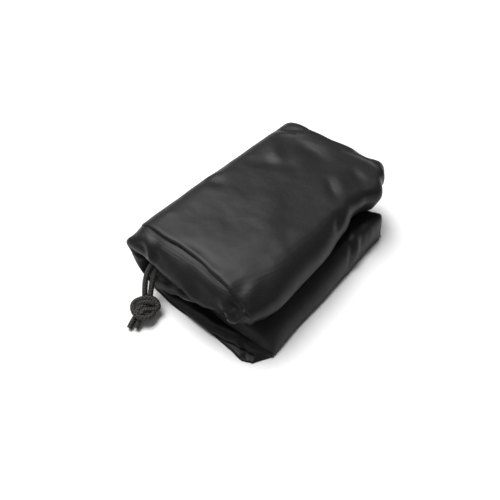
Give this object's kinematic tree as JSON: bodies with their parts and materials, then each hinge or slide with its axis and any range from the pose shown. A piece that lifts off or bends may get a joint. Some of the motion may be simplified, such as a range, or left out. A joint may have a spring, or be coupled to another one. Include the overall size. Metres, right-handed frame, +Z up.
{
  "type": "film changing bag",
  "caption": "Light-tight film changing bag folded away in its black nylon drawstring pouch, with the pouch folded in two like a book and its knotted cord lying out.",
  "frame": {"origin": "on the table under the middle of the folded pouch, cord left out", "axes": "+Z up; +Y along the pouch from its drawstring mouth to its closed end; +X from the fold to the free edges"},
  "size_m": [0.144, 0.2462, 0.058],
  "materials": {
    "pouch_nylon": "satin woven nylon",
    "seam_binding": "stitched nylon edge",
    "braided_cord": "braided polyester",
    "bag_cloth": "coated nylon",
    "lining_cloth": "matt cotton lining",
    "elastic": "woven elastic",
    "zip_tape": "woven tape",
    "zip_plastic": "moulded",
    "zip_metal": "black enamel"
  },
  "bodies": {
    "lower_half": {"casing_end_lower": "pouch_nylon", "chamber_cloth_lower": "bag_cloth", "chamber_cloth_spine": "bag_cloth", "chamber_lining_lower": "lining_cloth", "chamber_lining_spine": "lining_cloth", "drawstring_run_lower": "braided_cord", "drawstring_run_spine": "braided_cord", "inner_casing_lower": "pouch_nylon", "inner_panel_lower": "pouch_nylon", "inner_panel_spine": "pouch_nylon", "inner_zip_stops": "zip_plastic", "inner_zip_tape_left": "zip_tape", "inner_zip_tape_right": "zip_tape", "inner_zip_teeth": "zip_plastic", "outer_casing_lower": "pouch_nylon", "outer_casing_spine": "pouch_nylon", "outer_panel_lower": "pouch_nylon", "outer_panel_spine": "pouch_nylon", "outer_zip_stops": "zip_plastic", "outer_zip_tape_left": "zip_tape", "outer_zip_tape_right": "zip_tape", "outer_zip_teeth": "zip_plastic", "side_seam_lower": "seam_binding"},
    "upper_half": {"casing_end_upper": "pouch_nylon", "chamber_cloth_upper": "bag_cloth", "drawstring_run_upper": "braided_cord", "inner_casing_upper": "pouch_nylon", "inner_panel_upper": "pouch_nylon", "left_arm_elastic": "elastic", "left_sleeve": "bag_cloth", "left_wrist_elastic": "elastic", "outer_casing_upper": "pouch_nylon", "outer_panel_upper": "pouch_nylon", "right_arm_elastic": "elastic", "right_sleeve": "bag_cloth", "right_wrist_elastic": "elastic", "side_seam_upper": "seam_binding"},
    "drawstring": {"drawstring_knot": "braided_cord", "drawstring_strand_left": "braided_cord", "drawstring_strand_right": "braided_cord", "drawstring_tail_left": "braided_cord", "drawstring_tail_right": "braided_cord"},
    "outer_zip_slider": {"outer_zip_slider": "zip_metal"},
    "outer_zip_pull": {"outer_zip_pull": "zip_metal"},
    "inner_zip_slider": {"inner_zip_slider": "zip_metal"},
    "inner_zip_pull": {"inner_zip_pull": "zip_metal"}
  },
  "joints": [
    {"name": "fold", "type": "hinge", "parent": "lower_half", "child": "upper_half", "pos_m": [-0.043, 0, 0.029], "axis": [0, -1, 0], "range_deg": [0, 170], "deforming": ["chamber_cloth_spine", "chamber_lining_spine", "drawstring_run_spine", "inner_panel_spine", "outer_casing_spine", "outer_panel_spine"]},
    {"name": "drawstring_pull", "type": "slide", "parent": "lower_half", "child": "drawstring", "axis": [0, -1, 0], "range_m": [0, 0.012]},
    {"name": "outer_zip_slide", "type": "slide", "parent": "lower_half", "child": "outer_zip_slider", "axis": [0, 1, 0], "range_m": [0, 0.124]},
    {"name": "outer_zip_pull_lift", "type": "hinge", "parent": "outer_zip_slider", "child": "outer_zip_pull", "pos_m": [-0.01275, -0.0735, 0.0176], "axis": [1, 0, 0], "range_deg": [0, 25]},
    {"name": "inner_zip_slide", "type": "slide", "parent": "lower_half", "child": "inner_zip_slider", "axis": [0, 1, 0], "range_m": [0, 0.124]},
    {"name": "inner_zip_pull_lift", "type": "hinge", "parent": "inner_zip_slider", "child": "inner_zip_pull", "pos_m": [0.03125, -0.0735, 0.0176], "axis": [1, 0, 0], "range_deg": [0, 25]}
  ]
}
